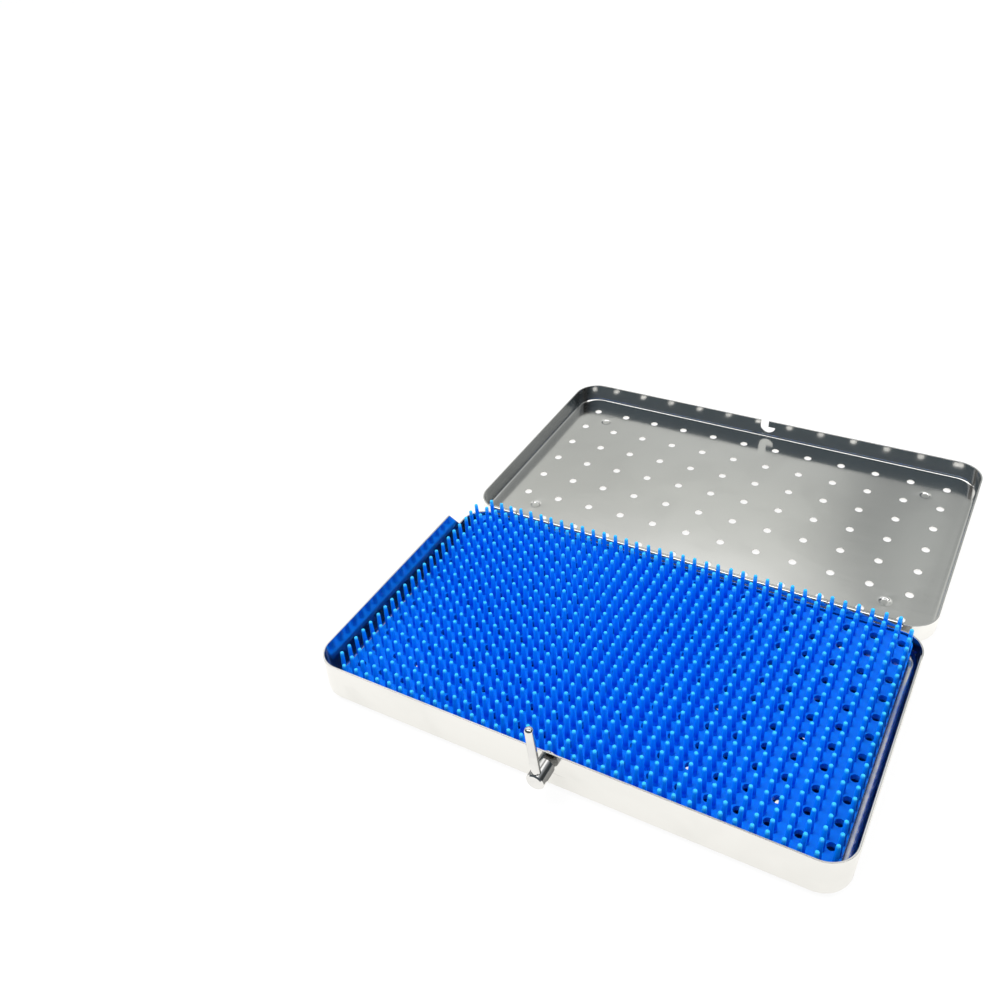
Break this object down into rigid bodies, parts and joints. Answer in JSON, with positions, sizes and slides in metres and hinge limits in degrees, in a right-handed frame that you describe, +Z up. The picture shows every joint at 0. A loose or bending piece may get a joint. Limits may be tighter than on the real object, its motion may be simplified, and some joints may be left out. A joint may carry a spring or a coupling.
{
  "type": "dental instrument cassette",
  "caption": "Flat rectangular cassette for dental instruments: a perforated steel tray and lid joined by a rolled hinge, a quarter-turn lever latch and a soft finger mat in the tray.",
  "frame": {"origin": "on the surface that the base stands on, midway between its four feet", "axes": "+X along the hinge, +Y from the latch to the hinge, +Z up; the lid lies open at +Y"},
  "size_m": [0.2528, 0.3157, 0.0468],
  "materials": {
    "steel": "satin polished stainless sheet",
    "bright_steel": "polished stainless bar",
    "silicone": "satin blue silicone"
  },
  "bodies": {
    "base": {"base_tray": "steel", "finger_mat": "silicone", "hinge_pin": "bright_steel", "latch_bush": "bright_steel"},
    "lid": {"lid_tray": "steel"},
    "latch": {"latch_spindle": "bright_steel", "latch_lever": "bright_steel", "latch_spring_washer": "bright_steel", "latch_washer": "bright_steel"}
  },
  "joints": [
    {"name": "lid_hinge", "type": "hinge", "parent": "base", "child": "lid", "pos_m": [0, 0.07615, 0.01275], "axis": [1, 0, 0], "range_deg": [0, 180]},
    {"name": "latch_turn", "type": "hinge", "parent": "base", "child": "latch", "pos_m": [0, -0.075, 0.0169], "axis": [0, 1, 0], "range_deg": [0, 95]}
  ]
}
